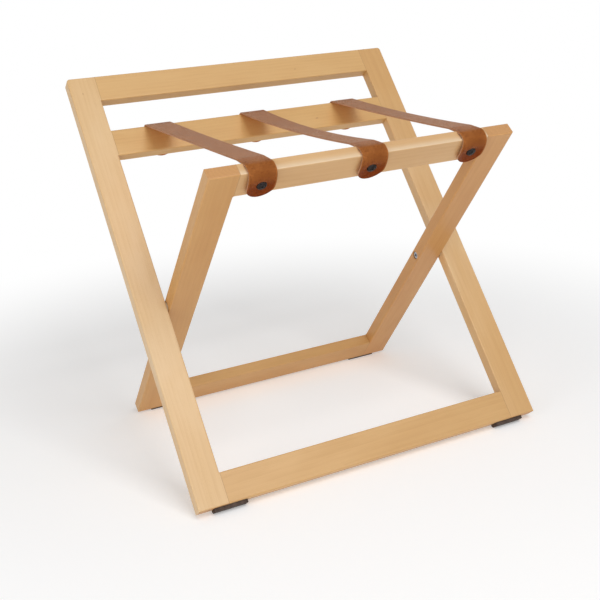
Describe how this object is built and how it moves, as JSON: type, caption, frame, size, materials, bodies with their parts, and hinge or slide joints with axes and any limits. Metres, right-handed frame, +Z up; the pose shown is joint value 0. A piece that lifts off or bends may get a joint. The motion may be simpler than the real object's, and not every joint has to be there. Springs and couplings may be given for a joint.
{
  "type": "hotel luggage bench",
  "caption": "Folding X-frame luggage bench in beech with a low backrest rail, leather straps, pivot bolts and foot pads.",
  "frame": {"origin": "on the floor, under the middle of the overall box", "axes": "+X to the right seen from the front, along the rails; +Y backward, towards the backrest; +Z up"},
  "size_m": [0.58, 0.4566, 0.5596],
  "materials": {
    "beech": "clear satin lacquer on natural beech",
    "strap_leather": "brown leather, smooth with a light grain",
    "dark_steel": "black oxide screw heads, slightly glossy",
    "bolt_steel": "zinc plated",
    "insert_steel": "zinc plated",
    "washer_nylon": "natural nylon",
    "pad_rubber": "matt dark rubber"
  },
  "bodies": {
    "back_frame": {"stile_left": "beech", "stile_right": "beech", "top_rail": "beech", "rear_strap_rail": "beech", "stile_foot_rail": "beech", "stile_dowels": "beech", "pivot_bolt_left": "bolt_steel", "pivot_bolt_right": "bolt_steel", "pivot_insert_left": "insert_steel", "pivot_insert_right": "insert_steel", "pivot_washer_left": "washer_nylon", "pivot_washer_right": "washer_nylon", "strap_left": "strap_leather", "strap_middle": "strap_leather", "strap_right": "strap_leather", "rear_strap_studs": "dark_steel", "foot_pad_front_left": "pad_rubber", "foot_pad_front_right": "pad_rubber"},
    "front_frame": {"leg_left": "beech", "leg_right": "beech", "front_strap_rail": "beech", "leg_foot_rail": "beech", "leg_dowels": "beech", "front_strap_studs": "dark_steel", "foot_pad_rear_left": "pad_rubber", "foot_pad_rear_right": "pad_rubber"}
  },
  "joints": [
    {"name": "fold", "type": "hinge", "parent": "back_frame", "child": "front_frame", "pos_m": [0, -0.02844, 0.24226], "axis": [-1, 0, 0], "range_deg": [0, 71], "deforming": ["strap_left", "strap_middle", "strap_right"]}
  ]
}
